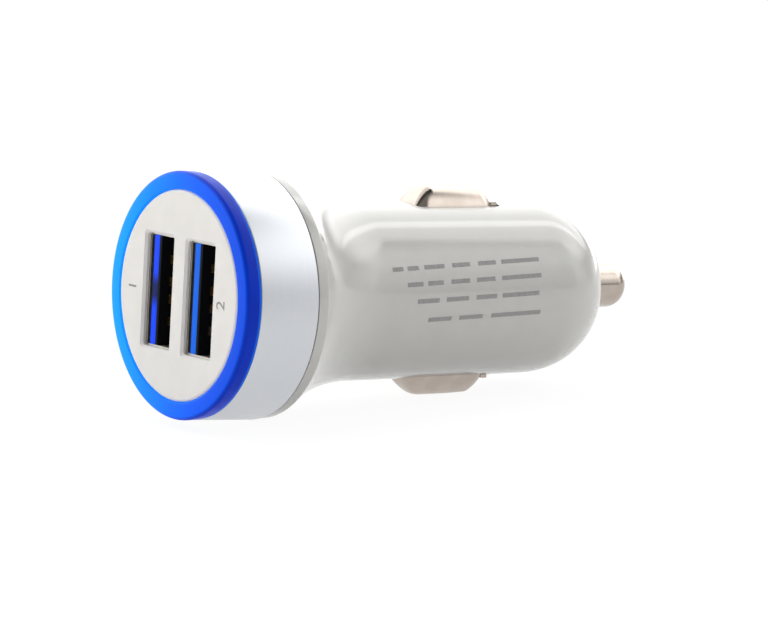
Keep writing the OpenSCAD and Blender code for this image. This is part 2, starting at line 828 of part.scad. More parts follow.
module side_contact() {
    bend_x = ramp_x - leaf_slope;
    riser_z = leaf_z + leaf_rise;
    color("silver") {
        difference() {
            cap(0);
            cap(contact_t);
        }
        across(2 * leaf_half) polygon([
            [root_x - root_len, leaf_z], [bend_x, leaf_z], [ramp_x, riser_z], [ramp_x + contact_t, riser_z],
            [ramp_x + contact_t, skirt_z + contact_t], [ramp_x, skirt_z + contact_t],
            [ramp_x, riser_z + contact_t], [bend_x, leaf_z + contact_t],
            [root_x - root_len, leaf_z + contact_t]
        ]);
        translate([cap_end - contact_t, -foot_half, foot_z - contact_t])
            cube([foot_len + contact_t, 2 * foot_half, contact_t]);
    }
}

module side_contact_upper() {
    side_contact();
}

module side_contact_lower() {
    mirror([0, 0, 1]) side_contact();
}

body_shell();
trim_band();
light_ring();
faceplate();
port_shell(1);  // port_shell_1
port_shell(-1);  // port_shell_2
port_insulator(1);  // port_insulator_1
port_insulator(-1);  // port_insulator_2
port_pins(1);  // port_pins_1
port_pins(-1);  // port_pins_2
port_board();
ring_leds();
main_board();
inductor_core();
inductor_winding();
input_capacitor();
output_capacitor();
converter_chip();
converter_legs();
catch_diode();
diode_tabs();
chip_resistors();
chip_capacitors();
spring_cup();
tip_spring();
contact_tip();
side_contact_upper();
side_contact_lower();
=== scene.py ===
import json
import math

import bmesh
import bpy
from mathutils import Matrix, Vector


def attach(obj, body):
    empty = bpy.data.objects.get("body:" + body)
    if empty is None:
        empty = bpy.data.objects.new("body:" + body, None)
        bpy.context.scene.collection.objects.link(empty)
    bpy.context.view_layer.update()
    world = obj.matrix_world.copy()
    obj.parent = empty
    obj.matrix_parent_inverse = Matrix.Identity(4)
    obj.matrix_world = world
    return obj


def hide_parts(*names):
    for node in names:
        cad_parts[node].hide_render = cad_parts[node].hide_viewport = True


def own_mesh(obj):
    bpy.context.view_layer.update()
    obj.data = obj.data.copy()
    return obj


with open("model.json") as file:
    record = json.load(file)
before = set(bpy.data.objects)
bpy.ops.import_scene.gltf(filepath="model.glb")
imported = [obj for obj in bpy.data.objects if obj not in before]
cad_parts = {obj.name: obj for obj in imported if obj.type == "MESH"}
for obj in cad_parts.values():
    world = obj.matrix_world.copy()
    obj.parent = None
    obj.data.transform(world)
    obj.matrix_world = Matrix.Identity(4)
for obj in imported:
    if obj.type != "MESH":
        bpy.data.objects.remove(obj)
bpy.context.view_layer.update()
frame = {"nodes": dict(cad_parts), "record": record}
print("frame loaded with", len(frame["nodes"]), "nodes")

mm = 0.001  # shapes are made in millimetres and brought to metres as they are finished


# Shader maths: one value in a material, and the material that holds it

class Value:
    def __init__(self, shade, socket):
        self.shade, self.socket = shade, socket

    def maths(self, operation, *others):
        values = dict(enumerate((self, *others)))
        return self.shade.node("ShaderNodeMath", {"operation": operation}, values)

    def __add__(self, other):
        return self.maths("ADD", other)

    def __sub__(self, other):
        return self.maths("SUBTRACT", other)

    def __mul__(self, other):
        return self.maths("MULTIPLY", other)

    def __truediv__(self, other):
        return self.maths("DIVIDE", other)

    def __pow__(self, other):
        return self.maths("POWER", other)

    def __rsub__(self, other):
        return self.shade.node("ShaderNodeMath", {"operation": "SUBTRACT"}, {0: other, 1: self})

    __radd__ = __add__
    __rmul__ = __mul__

    def clamped(self):
        return self.maths("MAXIMUM", 0).maths("MINIMUM", 1)

    def between(self, low, high):
        # 0 below low, 1 above high, smooth in the middle
        return self.shade.node(
            "ShaderNodeMapRange", {"interpolation_type": "SMOOTHSTEP"},
            {"Value": self, "From Min": low, "From Max": high})


class Wiring:
    # The node tree of a material or a world, emptied, with its output
    def __init__(self, owner, output):
        owner.use_nodes = True
        self.tree = owner.node_tree
        self.tree.nodes.clear()
        self.output = self.tree.nodes.new(output)

    def shown(self, surface):
        self.plug(self.output.inputs[0], surface)

    def plug(self, socket, value):
        if isinstance(value, Value):
            self.tree.links.new(value.socket, socket)
        else:
            socket.default_value = value

    def node(self, kind, settings, values, out=0):
        made = self.tree.nodes.new(kind)
        for name, setting in settings.items():
            if name == "stops":
                self.stops(made.color_ramp, setting)
            else:
                setattr(made, name, setting)
        for socket, value in values.items():
            self.plug(made.inputs[socket], value)
        return Value(self, made.outputs[out])

    def seenShare(self, share):
        # The share for rays that are seen straight, in a reflection or through something clear
        kinds = [
            self.node("ShaderNodeLightPath", {}, {}, kind)
            for kind in ("Is Camera Ray", "Is Glossy Ray", "Is Transmission Ray")]
        return kinds[0].maths("MAXIMUM", kinds[1]).maths("MAXIMUM", kinds[2]) * share

    def stops(self, ramp, stops):
        while len(ramp.elements) < len(stops):
            ramp.elements.new(1)
        for element, (place, colour) in zip(ramp.elements, stops):
            element.position, element.color = place, colour


class Shade(Wiring):
    def __init__(self, name, fixed):
        self.material = bpy.data.materials.new(name)
        super().__init__(self.material, "ShaderNodeOutputMaterial")
        self.surface = self.tree.nodes.new("ShaderNodeBsdfPrincipled")
        self.shown(Value(self, self.surface.outputs[0]))
        self.set(fixed)

    def set(self, values):
        for socket, value in values.items():
            self.plug(self.surface.inputs[socket], value)

    def place(self, scale=(1, 1, 1)):
        # Object coordinates in millimetres, stretched by scale
        spot = self.node("ShaderNodeTexCoord", {}, {}, "Object")
        return self.node("ShaderNodeMapping", {}, {"Vector": spot, "Scale": [s / mm for s in scale]})

    def axes(self):
        split = self.node("ShaderNodeSeparateXYZ", {}, {"Vector": self.place()})
        outputs = split.socket.node.outputs
        return [Value(self, outputs[i]) for i in range(3)]

    def noise(self, scale, detail=3, stretch=(1, 1, 1)):
        return self.node(
            "ShaderNodeTexNoise", {}, {"Vector": self.place(stretch), "Scale": scale, "Detail": detail})

    def mix(self, amount, first, second):
        return self.node(
            "ShaderNodeMix", {"data_type": "RGBA"}, {"Factor": amount, 6: first, 7: second}, 2)

    def ramp(self, amount, stops):
        return self.node("ShaderNodeValToRGB", {"stops": stops}, {"Fac": amount}, "Color")

    def bump(self, height, strength, distance):
        self.set({"Normal": self.node(
            "ShaderNodeBump", {}, {"Height": height, "Strength": strength, "Distance": distance * mm})})


def tone(red, green, blue):
    # A colour as a picture gives it, from 0 to 255, as linear light
    def linear(level):
        level = level / 255
        return level / 12.92 if level <= 0.04045 else ((level + 0.055) / 1.055) ** 2.4
    return (linear(red), linear(green), linear(blue), 1)


def plastic(name, light, dark, roughness, grain, bump, **fixed):
    # Moulded plastic: a faint cloud of colour, a fine grain and a little unevenness in its gloss
    shade = Shade(name, fixed)
    shade.set({
        "Base Color": shade.mix(shade.noise(0.35, 2).between(0.3, 0.7), dark, light),
        "Roughness": roughness + shade.noise(grain, 2) * roughness * 0.3})
    shade.bump(shade.noise(grain, 4), bump, 0.02)
    return shade.material


def metal(name, light, dark, roughness, stretch, lined=0.12):
    # Plated or drawn metal: fine lines along one direction and a slow change of tone
    shade = Shade(name, {"Metallic": 1})
    lines = shade.noise(3, 4, stretch)
    shade.set({
        "Base Color": shade.mix(shade.noise(0.5, 3).between(0.3, 0.7), dark, light),
        "Roughness": roughness * (0.75 + lines * 0.5)})
    shade.bump(lines, lined, 0.02)
    return shade.material


def bandSilver():
    # Pearl silver lacquer: a fine sparkle with faint lines that run round the band
    shade = Shade("band_silver", {"Metallic": 1})
    lines = shade.noise(2.2, 4, (6, 0.12, 0.12))
    pearl = shade.noise(9, 2)
    shade.set({
        "Base Color": shade.mix(
            (lines * 0.3 + pearl * 0.7).between(0.25, 0.75), tone(199, 202, 206), tone(207, 209, 213)),
        "Roughness": 0.4 + pearl * 0.06})
    shade.bump(lines * 0.3 + pearl * 0.7, 0.03, 0.01)
    return shade.material


# The ring's painted light: where its side wall with painted shade begins, its two edges with painted
# highlights, how strong they are, and how much patchy painted shade the side wall takes
ringPaintedLight = {
    "sideFrom": 0.5, "sideTo": 0.08, "rearFrom": 0.35, "rearTo": 0.12, "innerFrom": 0.05, "innerTo": 0.3,
    "rear": 0.6, "inner": 0.45, "cloud": 0.4}


def ringBlue():
    # Clear blue plastic that glows from its lamps inside, brighter where they are near, with painted
    # highlights along its rear and inner edges and painted shade, darker and patchy, on its side wall
    shade = Shade("ring_blue", {"Specular IOR Level": 0.08, "IOR": 1.49, "Emission Strength": 1})
    x, y, z = shade.axes()
    across = (y / ringSize["outer"]).between(-1.05, 1.05)
    radius = (y * y + z * z) ** 0.5
    side = radius.between(ringSize["outer"] - ringPaintedLight["sideFrom"], ringSize["outer"] - ringPaintedLight["sideTo"])
    cloud = shade.noise(0.25, 3).between(0.3, 0.7)
    face = shade.ramp(across, [
        (0.0, tone(0, 68, 205)), (0.25, tone(0, 84, 226)), (0.5, tone(4, 104, 244)),
        (0.8, tone(0, 136, 250)), (1.0, tone(0, 164, 252))])
    # The side wall's darker ramp is painted shade
    wall = shade.ramp(across, [
        (0.0, tone(0, 38, 156)), (0.3, tone(0, 48, 180)), (0.55, tone(0, 90, 234)), (1.0, tone(0, 158, 250))])
    # Painted shade on the side wall, darker still in patches
    glowWithPaintedShade = shade.mix(cloud * side * ringPaintedLight["cloud"], shade.mix(side, face, wall), tone(0, 24, 122))
    rear = x.between(ringSize["back"] - ringPaintedLight["rearFrom"], ringSize["back"] - ringPaintedLight["rearTo"]) * side
    bore = ringSize["inner"]
    inner = 1 - radius.between(bore + ringPaintedLight["innerFrom"], bore + ringPaintedLight["innerTo"])
    # Painted highlights: a line round the rear of the side wall and one round the inner edge
    edges = (rear * ringPaintedLight["rear"] + inner * ringPaintedLight["inner"]).clamped()
    bright = shade.mix(edges, glowWithPaintedShade, tone(8, 120, 246))
    shade.set({
        # Darker base colour on the side wall: painted shade
        "Base Color": shade.mix(side, tone(6, 40, 120), tone(3, 22, 84)),
        "Emission Color": bright,
        "Roughness": 0.35 + cloud * 0.1})
    shade.bump(shade.noise(1.2, 3), 0.06, 0.02)
    return shade.material


# The tongues' painted light: how far back from the tip the painted glow reaches, the strip across the tip
# that it covers, and the first port's painted dark middle
tonguePaintedLight = {
    "skin": 0.02, "depth": 0.35, "strip": (0.72, 1.74), "blur": 0.04, "middle": (0.4, 2.4), "divide": 0.5}


def tongueBlue():
    # Blue moulding with a painted glow across its tip, standing for the lamps' light, and painted shade, near
    # black, down the port
    shade = Shade("tongue_blue", {"Specular IOR Level": 0.1, "Emission Strength": 1})
    x, y, z = shade.axes()
    front, port = tongueSize["front"], faceSize["portOffset"]
    (low, high), blur = tonguePaintedLight["strip"], tonguePaintedLight["blur"]
    tip = 1 - x.between(front + tonguePaintedLight["skin"], front + tonguePaintedLight["depth"])
    second = 1 - y.between(-tonguePaintedLight["divide"], tonguePaintedLight["divide"])
    across = y - port + second * (2 * port)
    # The strip of painted light across the tip; off it the tongue takes painted shade
    lit = tip * across.between(low - blur, low + blur) * (1 - across.between(high - blur, high + blur))
    # The first port's painted glow is darker in the middle, as painted shade
    outsidePaintedDarkMiddle = z.maths("ABSOLUTE").between(*tonguePaintedLight["middle"])
    glow = shade.mix(second, shade.mix(outsidePaintedDarkMiddle, tone(0, 14, 56), tone(0, 68, 250)), tone(0, 100, 224))
    shade.set({
        # Near black base colour off the strip: painted shade down the port
        "Base Color": shade.mix(lit, tone(4, 5, 10), tone(2, 18, 80)),
        # The emission is a painted glow standing for the lamps' light on the tip
        "Emission Color": shade.mix(lit * (0.85 + shade.noise(1.5, 2) * 0.3), (0, 0, 0, 1), glow),
        "Roughness": 0.4 + shade.noise(3, 2) * 0.1})
    shade.bump(shade.noise(4, 3), 0.08, 0.02)
    return shade.material


def boardGreen():
    # Solder mask with copper tracks under it
    shade = Shade("board_green", {"Coat Weight": 0.3, "IOR": 1.5})
    tracks = shade.node(
        "ShaderNodeTexVoronoi", {"feature": "DISTANCE_TO_EDGE", "distance": "MANHATTAN"},
        {"Vector": shade.place(), "Scale": 0.4}).between(0.06, 0.1)
    shade.set({
        "Base Color": shade.mix(tracks, tone(58, 128, 70), tone(16, 84, 40)),
        "Roughness": 0.3 + shade.noise(2, 2) * 0.15})
    shade.bump(1 - tracks, 0.3, 0.04)
    return shade.material


windingPitch = 11  # radians of the turns' wave to a millimetre


def windingCopper():
    # Enamelled wire, with painted shade in the line between the turns
    shade = Shade("winding_copper", {"Metallic": 1, "Coat Weight": 0.5})
    y = shade.axes()[1]
    turns = (y * windingPitch).maths("SINE") * 0.5 + 0.5
    shade.set({
        # Darker between the turns: painted shade in the grooves
        "Base Color": shade.mix(turns, tone(120, 52, 20), tone(206, 118, 60)),
        "Roughness": 0.25 + turns * 0.1})
    shade.bump(turns, 0.4, 0.05)
    return shade.material


sleeveStripe = (1.9, 2.1)  # the height at which the sleeve's stripe starts


def canSleeve():
    # Shrunk sleeve with its pale polarity stripe
    shade = Shade("can_sleeve", {"IOR": 1.5})
    z = shade.axes()[2]
    stripe = z.between(*sleeveStripe)
    shade.set({
        "Base Color": shade.mix(stripe, tone(34, 34, 70), tone(186, 188, 196)),
        "Roughness": 0.28 + shade.noise(1, 2) * 0.12})
    shade.bump(shade.noise(0.8, 2), 0.1, 0.03)
    return shade.material


def printGrey():
    shade = Shade("print_grey", {"IOR": 1.45})
    shade.set({
        "Base Color": shade.mix(
            shade.noise(6, 2).between(0.35, 0.65), tone(134, 133, 132), tone(148, 147, 146)),
        "Roughness": 0.5 + shade.noise(4, 2) * 0.1})
    return shade.material


# Shapes: what every turned, boxed or pressed piece is made with

alongX, alongY, alongZ = 0, 1, 2
cornerSteps = 6  # segments of a rounded corner
onAxisWithin, mergeWithin = 1e-6, 0.001  # how near the axis, or each other, points count as one


def finished(bm, name, material, body, sharp=38):
    bmesh.ops.scale(bm, verts=bm.verts, vec=(mm, mm, mm))
    mesh = bpy.data.meshes.new(name)
    bm.to_mesh(mesh)
    bm.free()
    mesh.materials.append(material)
    mesh.shade_smooth()
    mesh.set_sharp_from_angle(angle=math.radians(sharp))
    piece = bpy.data.objects.new(name, mesh)
    bpy.context.scene.collection.objects.link(piece)
    if body:
        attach(piece, body)
    return piece


def arc(x, r, radius, start, end, count):
    # Points (x, r) along an arc, in degrees
    angles = [math.radians(start + (end - start) * i / count) for i in range(count + 1)]
    return [(x + radius * math.cos(a), r + radius * math.sin(a)) for a in angles]


def dome(x, r, reach, power, stop, count):
    # A superellipse that leaves radius r at x and comes to the axis after reach
    angles = [math.radians(stop * i / count) for i in range(count + 1)]
    return [(x + reach * math.sin(a) ** (2 / power), r * max(math.cos(a), 0) ** (2 / power)) for a in angles]


def turned(outline, steps):
    # Spins an outline of (x, r) points, or (x, r, rounding), round the plug's axis
    bm = bmesh.new()
    corners = [bm.verts.new((p[0], 0, p[1])) for p in outline]
    bm.faces.new(corners)
    for corner, point in zip(corners, outline):
        if len(point) < 3:
            continue
        arms = [(e.other_vert(corner).co - corner.co).normalized() for e in corner.link_edges]
        reach = point[2] / math.tan(arms[0].angle(arms[1]) / 2)
        bmesh.ops.bevel(
            bm, geom=[corner], offset=reach, offset_type="OFFSET", segments=cornerSteps, profile=0.5,
            affect="VERTICES", material=-1)
    bmesh.ops.delete(bm, geom=bm.faces[:], context="FACES_ONLY")
    onAxis = [e for e in bm.edges if max(v.co.z for v in e.verts) < onAxisWithin]
    bmesh.ops.delete(bm, geom=onAxis, context="EDGES")
    bmesh.ops.spin(
        bm, geom=bm.verts[:] + bm.edges[:], cent=(0, 0, 0), axis=(1, 0, 0), dvec=(0, 0, 0),
        angle=math.tau, steps=steps, use_merge=True, use_duplicate=False)
    bmesh.ops.remove_doubles(bm, verts=bm.verts, dist=mergeWithin)
    bmesh.ops.recalc_face_normals(bm, faces=bm.faces)
    return bm


def boxed(low, high, rounding=0, along=alongX, segments=cornerSteps):
    # A box between two corners, with the four edges along one axis rounded
    bm = bmesh.new()
    bmesh.ops.create_cube(bm, size=1)
    size = [b - a for a, b in zip(low, high)]
    middle = [(a + b) / 2 for a, b in zip(low, high)]
    bmesh.ops.scale(bm, verts=bm.verts, vec=size)
    bmesh.ops.translate(bm, verts=bm.verts, vec=middle)
    if rounding:
        edges = [e for e in bm.edges if abs((e.verts[0].co - e.verts[1].co)[along]) > size[along] / 2]
        bmesh.ops.bevel(
            bm, geom=edges, offset=rounding, offset_type="OFFSET", segments=segments, profile=0.5,
            affect="EDGES", material=-1)
    return bm


def cutAway(piece, cutters):
    # Takes the cutters' shapes out of a piece
    for taken in cutters:
        step = piece.modifiers.new("cut", "BOOLEAN")
        step.operation, step.solver, step.object = "DIFFERENCE", "EXACT", taken
    bpy.context.view_layer.update()
    cut = bpy.data.meshes.new_from_object(piece.evaluated_get(bpy.context.evaluated_depsgraph_get()))
    piece.modifiers.clear()
    piece.data = cut
    for taken in cutters:
        bpy.data.objects.remove(taken)


flatFront = -0.9999  # how squarely a face looks forward when it counts as flat


def crisped(piece, sharp):
    # Sharp edges round each flat that faces the front, so that its shading stays flat
    mesh = piece.data
    mesh.set_sharp_from_angle(angle=math.radians(sharp))
    bm = bmesh.new()
    bm.from_mesh(mesh)
    for face in bm.faces:
        if face.normal.x < flatFront:
            for edge in face.edges:
                edge.smooth = edge.smooth and all(f.normal.x < flatFront for f in edge.link_faces)
    bm.to_mesh(mesh)
    bm.free()


def cutter(bm):
    return finished(bm, "cutter", finishes["print_grey"], None)


def inMillimetres(bm):
    # Back from a finished mesh's metres, so that it can be finished again
    bmesh.ops.scale(bm, verts=bm.verts, vec=(1 / mm, 1 / mm, 1 / mm))
    return bm


def joined(parts):
    # One mesh from several finished parts, which go
    bpy.context.view_layer.update()
    graph = bpy.context.evaluated_depsgraph_get()
    bm = bmesh.new()
    for part in parts:
        bm.from_mesh(bpy.data.meshes.new_from_object(part.evaluated_get(graph)))
    for part in parts:
        bpy.data.objects.remove(part)
    return bm


# The main shell: flange, flare, barrel and nose in one glossy white moulding

shellSize = {
    "barrel": 10.35, "grip": 7, "noseStart": 25, "noseEnd": 34.4, "noseReach": 10, "draft": 0.1, "power": 2.3,
    "flange": 14.18, "flangeFace": -12.95, "edge": 0.5, "flare": 11.68, "wall": 1.4,
    "spigot": 12.86, "spigotIn": 11.56, "spigotFace": -19.85, "shoulder": -7.6, "shoulderDrop": 0.75,
    "guide": 4.1, "guideOut": 5.3, "guideStart": 26.5, "guideEnd": 32.8, "mouth": 2.85, "chamfer": 0.3,
    "window": (8.4, 20.5), "windowHalf": 2.7, "windowRound": 0.5, "windowDepth": (5, 14),
    "rings": (8.2, 20.7), "noseRound": 0.25, "spigotRound": 0.2, "flangeRound": 0.08, "mouthRound": 0.1,
    "steps": 256, "edgeSteps": 6, "flareSteps": 40, "noseSteps": 36, "innerSteps": (8, 10, 16), "sharp": 30}


def mainShell():
    s = shellSize
    rise = s["flange"] - s["barrel"]
    flare = (s["flare"] ** 2 + rise ** 2) / (2 * rise)
    centre = s["barrel"] + flare
    edgeR = s["flange"] - s["edge"]
    edgeX = -math.sqrt((flare + s["edge"]) ** 2 - (centre - edgeR) ** 2)
    lean = math.degrees(math.atan2(-edgeX, centre - edgeR))
    inner = flare + s["wall"]
    noseStop = math.degrees(math.asin(((s["noseEnd"] - s["noseStart"]) / s["noseReach"]) ** (s["power"] / 2)))
    outside = arc(edgeX, edgeR, s["edge"], 90, 90 - lean, s["edgeSteps"])
    outside += arc(0, centre, flare, 270 - lean, 270, s["flareSteps"])
    outside += [(s["grip"], s["barrel"])]
    for x in s["rings"]:
        part = (x - s["grip"]) / (s["noseStart"] - s["grip"])
        outside += [(x, s["barrel"] - s["draft"] * part)]
    nose = dome(
        s["noseStart"], s["barrel"] - s["draft"], s["noseReach"], s["power"], noseStop, s["noseSteps"])
    outside += nose[:-1] + [(nose[-1][0], nose[-1][1], s["noseRound"])]

    def inside(r):
        return math.degrees(math.asin((centre - r) / inner))
    bore = s["barrel"] - s["wall"]
    seat = centre - math.sqrt(inner ** 2 - s["shoulder"] ** 2)
    relief = seat - s["shoulderDrop"]
    guideStop = math.degrees(math.acos((s["guideOut"] / bore) ** (s["power"] / 2)))
    mouthSteps, flareSteps, noseSteps = s["innerSteps"]
    cavity = arc(0, centre, inner, 180 + inside(s["spigotIn"]), 180 + inside(seat), mouthSteps)
    cavity += arc(0, centre, inner, 180 + inside(relief), 270, flareSteps)
    cavity += dome(s["noseStart"], bore, s["noseReach"] - s["wall"], s["power"], guideStop, noseSteps)
    outline = [
        (s["spigotFace"], s["spigotIn"], s["spigotRound"]), (s["spigotFace"], s["spigot"], s["spigotRound"]),
        (s["flangeFace"], s["spigot"]), (s["flangeFace"], s["flange"], s["flangeRound"])]
    outline += outside
    outline += [
        (s["noseEnd"], s["mouth"] + s["chamfer"], s["mouthRound"]), (s["noseEnd"] - s["chamfer"], s["mouth"]),
        (s["guideEnd"], s["mouth"]), (s["guideEnd"], s["guide"]), (s["guideStart"], s["guide"]),
        (s["guideStart"], s["guideOut"])]
    outline += cavity[::-1]
    piece = finished(
        turned(outline, s["steps"]), "main_shell", finishes["shell_white"], "housing", s["sharp"])
    (low, high), (near, far), half = s["window"], s["windowDepth"], s["windowHalf"]
    cutAway(piece, [
        cutter(boxed((low, -half, near), (high, half, far), s["windowRound"], alongZ)),
        cutter(boxed((low, -half, -far), (high, half, -near), s["windowRound"], alongZ))])
    piece.data.set_sharp_from_angle(angle=math.radians(s["sharp"]))
    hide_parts("body_shell")
    print("main shell made")


# The head: silver band, glowing ring and faceplate

headSteps, headSharp = 256, 50
bandSize = {"front": -20.57, "back": -13.09, "inner": 12.91, "frontR": 14.01, "backR": 14.26, "edge": 0.12}
ringSize = {
    "front": -22.5, "back": -20.57, "inner": 12.0, "outer": 14.02, "edge": 0.5, "innerEdge": 0.14,
    "rearR": 13.93, "web": 12.81, "webBack": -19.9, "skirt": 11.46, "skirtIn": 10.225, "skirtBack": -10.4,
    "bead": -15.1, "beadWidth": 0.8, "beadHeight": 0.2, "webFront": -20.65, "gap": 0.05, "rearEdge": 0.1}
faceSize = {
    "front": -22.485, "back": -20.7, "radius": 11.95, "edge": 0.4, "snap": 10.175, "snapIn": 9.175,
    "snapBack": -17.7, "portOffset": 4.165, "window": (12.92, 5.54), "chamfer": 0.28, "round": 0.45,
    "pocket": (13.3, 5.92), "pocketFront": -21.85, "cutFront": 1, "cutBack": 4, "steps": 192, "sharp": 30}


def trimBand():
    s = bandSize
    outline = [
        (s["front"], s["inner"]), (s["front"], s["frontR"], s["edge"]), (s["back"], s["backR"], s["edge"]),
        (s["back"], s["inner"])]
    piece = finished(turned(outline, headSteps), "silver_band", finishes["band_silver"], "housing", headSharp)
    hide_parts("trim_band")


def glowRing():
    s = ringSize
    rear = s["back"] - s["gap"]
    beadEnd, slope = s["bead"] + s["beadWidth"], s["beadHeight"]
    beadTop = s["skirt"] + s["beadHeight"]
    outline = [
        (s["front"], s["inner"], s["innerEdge"]), (s["front"], s["outer"], s["edge"]),
        (rear, s["rearR"], s["rearEdge"]), (rear, s["web"]), (s["webBack"], s["web"]),
        (s["webBack"], s["skirt"]), (s["bead"], s["skirt"]), (s["bead"] + slope, beadTop),
        (beadEnd - slope, beadTop), (beadEnd, s["skirt"]), (s["skirtBack"], s["skirt"]),
        (s["skirtBack"], s["skirtIn"]), (s["webFront"], s["skirtIn"]), (s["webFront"], s["inner"])]
    piece = finished(turned(outline, headSteps), "glow_ring", finishes["ring_blue"], "housing", headSharp)
    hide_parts("light_ring")


def portCutters(side):
    s = faceSize
    y = side * s["portOffset"]

    def opening(size, start, end):
        wide, tall = size
        return boxed((start, y - tall / 2, -wide / 2), (end, y + tall / 2, wide / 2), s["round"])
    window = opening(s["window"], s["front"] - s["cutFront"], s["back"] + s["cutBack"])
    pocket = opening(s["pocket"], s["pocketFront"], s["back"] + s["cutBack"])
    lip = opening(s["window"], s["front"] - s["chamfer"], s["front"] + s["chamfer"])
    spread = 2 * s["chamfer"]
    for corner in lip.verts:
        if corner.co.x < s["front"]:
            corner.co.y += math.copysign(spread, corner.co.y - y)
            corner.co.z += math.copysign(spread, corner.co.z)
    return [cutter(window), cutter(pocket), cutter(lip)]


def facePlate():
    s = faceSize
    outline = [
        (s["front"], 0), (s["front"], s["radius"], s["edge"]), (s["back"], s["radius"]),
        (s["back"], s["snap"]), (s["snapBack"], s["snap"]), (s["snapBack"], s["snapIn"]),
        (s["back"], s["snapIn"]), (s["back"], 0)]
    piece = finished(turned(outline, s["steps"]), "face_cap", finishes["face_white"], "housing", s["sharp"])
    cutAway(piece, portCutters(1) + portCutters(-1))
    crisped(piece, s["sharp"])
    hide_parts("faceplate")


# The ports' blue insulators: a block at the back and the tongue with its painted glow that the contacts lie
# on

tongueSize = {
    "front": -21.95, "low": 0.3, "high": 1.95, "half": 6.2, "chamfer": 0.06, "back": -8.85, "block": -12.85,
    "blockHalf": 6.2, "blockHigh": 2.51, "blockRound": 0.2, "roundSteps": 4, "edgeSteps": 2, "overlap": 0.1}


def portTongue(name, node, side):
    s = tongueSize
    y = side * faceSize["portOffset"]
    tongue = boxed(
        (s["front"], y + s["low"], -s["half"]), (s["block"] + s["overlap"], y + s["high"], s["half"]))
    rim = [e for e in tongue.edges if all(v.co.x < s["front"] + s["chamfer"] for v in e.verts)]
    bmesh.ops.bevel(
        tongue, geom=rim, offset=s["chamfer"], offset_type="OFFSET", segments=s["edgeSteps"], profile=0.5,
        affect="EDGES", material=-1)
    block = boxed(
        (s["block"], y - s["blockHigh"], -s["blockHalf"]),
        (s["back"], y + s["blockHigh"], s["blockHalf"]), s["blockRound"], alongX, s["roundSteps"])
    parts = [finished(tongue, name + "_tongue", finishes["tongue_blue"], None),
             finished(block, name + "_block", finishes["tongue_blue"], None)]
    piece = finished(inMillimetres(joined(parts)), name, finishes["tongue_blue"], "housing")
    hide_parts(node)


# The sprung contacts: two pressed caps on leaves, and the domed tip

capSize = {
    "front": 8.7, "rear": 19.6, "half": 2.5, "skirt": 9.5, "crest": 11.93, "frontSlope": 2.3,
    "rearSlope": 1.45, "sideSlope": 1.8, "power": 1.4, "cornerLow": 0.57, "cornerHigh": 0.95, "sheet": 0.4,
    "levels": 18, "cornerSteps": 12, "foot": 0.5, "footHalf": 2.35, "footTop": 10.42, "footRound": 0.15,
    "footSteps": 4, "capSharp": 60, "sharp": 50}
leafSize = {
    "root": -4.5, "bend": 6, "low": 7.55, "rise": 0.5, "top": 9.9, "half": 1.6, "sheet": 0.4, "inset": 0.02}


def levelRing(bm, front, rear, half, corner, z):
    # A rounded rectangle of vertices at one height
    ring = []
    for x, y, start in (
            (rear - corner, half - corner, 0), (front + corner, half - corner, 90),
            (front + corner, corner - half, 180), (rear - corner, corner - half, 270)):
        for i in range(capSize["cornerSteps"] + 1):
            angle = math.radians(start + 90 / capSize["cornerSteps"] * i)
            ring.append(bm.verts.new((x + corner * math.cos(angle), y + corner * math.sin(angle), z)))
    return ring


def pressedCap():
    # Level rings from the foot to the crest, where the slopes round over into the flat
    s = capSize
    bm = bmesh.new()
    last = None
    for i in range(s["levels"] + 1):
        turn = math.radians(90 / s["levels"] * i)
        inwards = 1 - max(math.cos(turn), 0) ** (2 / s["power"])
        up = math.sin(turn) ** (2 / s["power"])
        half = s["half"] - s["sideSlope"] * inwards
        corner = half * (s["cornerLow"] + (s["cornerHigh"] - s["cornerLow"]) * inwards)
        ring = levelRing(
            bm, s["front"] + s["frontSlope"] * inwards, s["rear"] - s["rearSlope"] * inwards, half, corner,
            s["skirt"] + (s["crest"] - s["skirt"]) * up)
        if last:
            for j, vertex in enumerate(ring):
                bm.faces.new((last[j - 1], last[j], vertex, ring[j - 1]))
        last = ring
    bm.faces.new(last)
    bmesh.ops.recalc_face_normals(bm, faces=bm.faces)
    bmesh.ops.solidify(bm, geom=bm.faces[:], thickness=-s["sheet"])
    bmesh.ops.recalc_face_normals(bm, faces=bm.faces)
    return bm


def contactParts(name):
    cap = finished(pressedCap(), name + "_cap", finishes["nickel"], None, capSize["capSharp"])
    c, leaf = capSize, leafSize
    foot = boxed(
        (c["rear"] - c["sheet"], -c["footHalf"], c["footTop"] - c["sheet"]),
        (c["rear"] + c["foot"], c["footHalf"], c["footTop"]), c["footRound"], alongY, c["footSteps"])
    bend, low, top = leaf["bend"], leaf["low"], leaf["top"]
    riser, raised, sheet = c["front"] + leaf["inset"], low + leaf["rise"], leaf["sheet"]
    strip = bmesh.new()
    path = [
        (leaf["root"], low), (bend, low), (riser, raised), (riser + sheet, raised), (riser + sheet, top),
        (riser, top), (riser, raised + sheet), (bend, low + sheet), (leaf["root"], low + sheet)]
    side = strip.faces.new([strip.verts.new((x, -leaf["half"], z)) for x, z in path])
    grown = bmesh.ops.extrude_face_region(strip, geom=[side])
    moved = [v for v in grown["geom"] if isinstance(v, bmesh.types.BMVert)]
    bmesh.ops.translate(strip, verts=moved, vec=(0, 2 * leaf["half"], 0))
    bmesh.ops.recalc_face_normals(strip, faces=strip.faces)
    return [cap, finished(foot, name + "_foot", finishes["nickel"], None),
            finished(strip, name + "_leaf", finishes["nickel"], None)]


